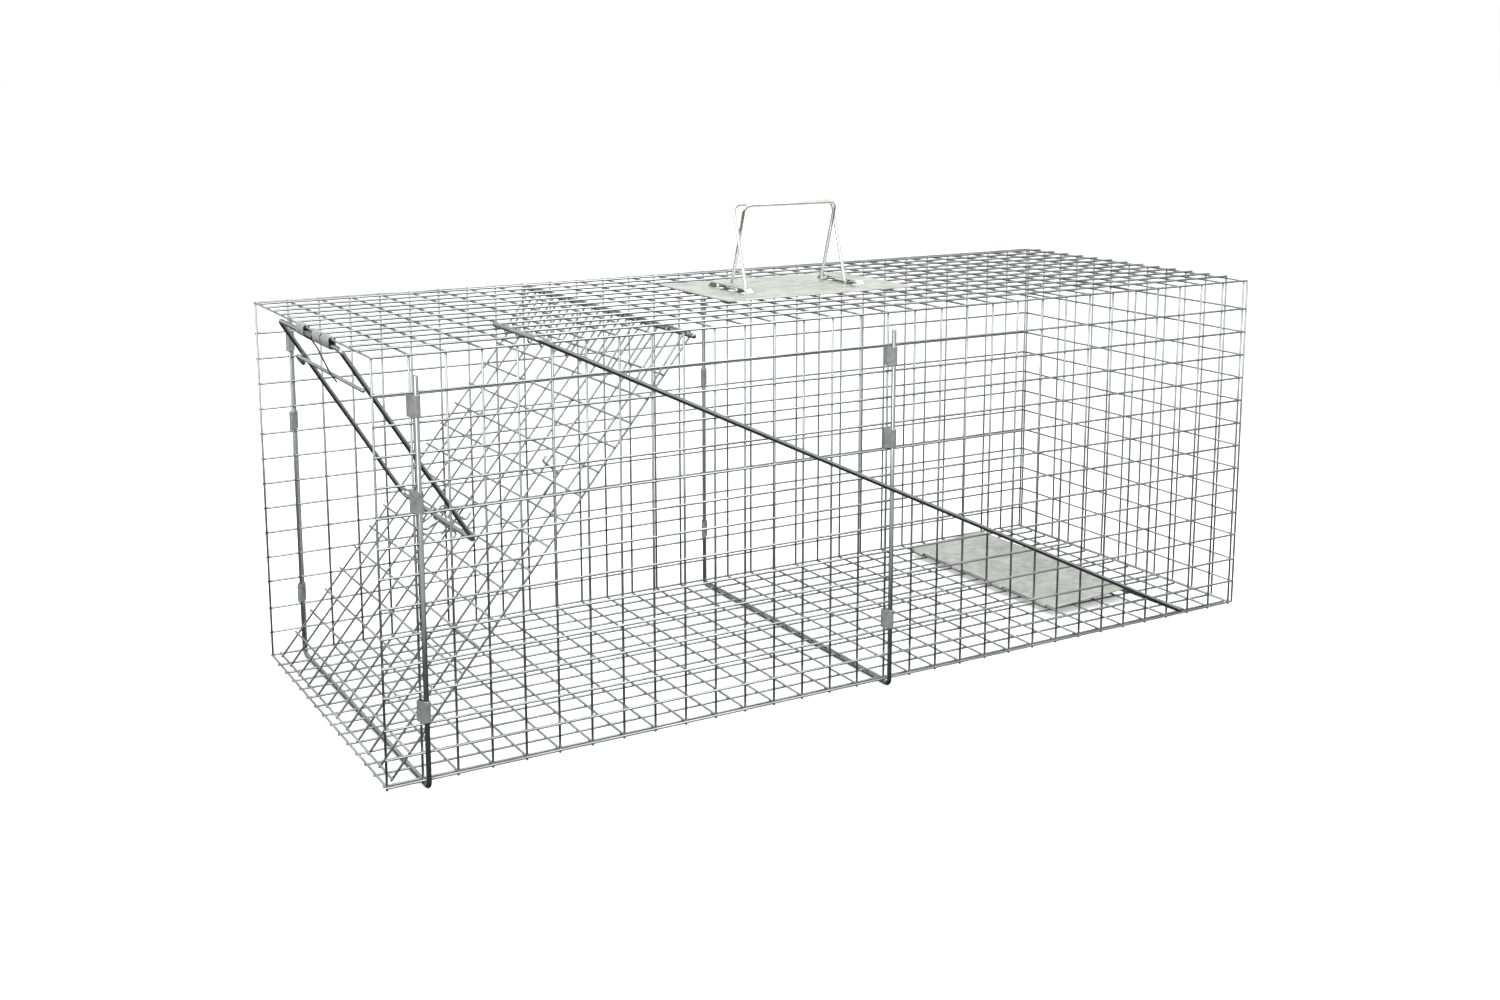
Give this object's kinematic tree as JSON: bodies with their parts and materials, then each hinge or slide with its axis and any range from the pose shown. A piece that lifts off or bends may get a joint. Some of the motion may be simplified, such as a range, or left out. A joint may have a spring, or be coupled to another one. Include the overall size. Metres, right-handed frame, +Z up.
{
  "type": "live catch trap",
  "caption": "Wire mesh live catch trap: long cage with a slanted drop door, a propping lock frame, a floor treadle that pulls a side trigger rod, and a folding wire carry handle.",
  "frame": {"origin": "on the ground, at the middle of the trap's outline seen from above", "axes": "+X from the door end to the rear, +Y from the trigger-rod side to the other side, +Z up"},
  "size_m": [1.0802, 0.439, 0.5092],
  "materials": {
    "mesh_wire": "galvanised, semi-gloss",
    "round_rod": "bright zinc plated",
    "spring_wire": "zinc plated spring steel",
    "clip_sheet": "galvanised sheet",
    "plate_sheet": "galvanised sheet, soft sheen",
    "handle_wire": "bright zinc plated"
  },
  "bodies": {
    "cage": {"near_side_mesh": "mesh_wire", "far_side_mesh": "mesh_wire", "roof_mesh": "mesh_wire", "floor_mesh": "mesh_wire", "rear_panel": "mesh_wire", "front_stiffener_rod": "round_rod", "middle_stiffener_rod": "round_rod", "stiffener_clips": "clip_sheet", "door_hinge_rod": "round_rod", "lock_hinge_clips": "clip_sheet", "handle_plate": "plate_sheet"},
    "door": {"door_mesh": "mesh_wire", "door_hinge_loops": "mesh_wire", "door_catch_hook": "mesh_wire", "door_stop_loops": "mesh_wire"},
    "lock": {"lock_frame": "round_rod", "lock_brace": "round_rod", "lock_spring": "spring_wire", "lock_pull_loop": "round_rod"},
    "treadle": {"treadle_plate": "plate_sheet"},
    "trigger": {"trigger_rod": "round_rod"},
    "near_bail": {"near_handle_bail": "handle_wire"},
    "far_bail": {"far_handle_bail": "handle_wire"}
  },
  "joints": [
    {"name": "door_swing", "type": "hinge", "parent": "cage", "child": "door", "pos_m": [-0.21603, -0.005, 0.40212], "axis": [0, 1, 0], "range_deg": [0, 49]},
    {"name": "lock_swing", "type": "hinge", "parent": "cage", "child": "lock", "pos_m": [-0.53603, -0.005, 0.40212], "axis": [0, 1, 0], "range_deg": [0, 122.5]},
    {"name": "treadle_tilt", "type": "hinge", "parent": "cage", "child": "treadle", "pos_m": [0.32687, 0.026, 0.00864], "axis": [0, 1, 0], "range_deg": [-4.5, 0]},
    {"name": "trigger_pivot", "type": "hinge", "parent": "treadle", "child": "trigger", "pos_m": [0.44597, 0.026, 0.01392], "axis": [0, 1, 0], "range_deg": [0, 3.86]},
    {"name": "near_bail_fold", "type": "hinge", "parent": "cage", "child": "near_bail", "pos_m": [0.01897, -0.02, 0.41524], "axis": [1, 0, 0], "range_deg": [0, 106]},
    {"name": "far_bail_fold", "type": "hinge", "parent": "cage", "child": "far_bail", "pos_m": [0.01897, 0.022, 0.41524], "axis": [-1, 0, 0], "range_deg": [0, 106]}
  ],
  "couplings": [
    {"joint": "lock_swing", "follows": "door_swing", "ratio": 2.5},
    {"joint": "trigger_pivot", "follows": "treadle_tilt", "ratio": -0.8567}
  ]
}
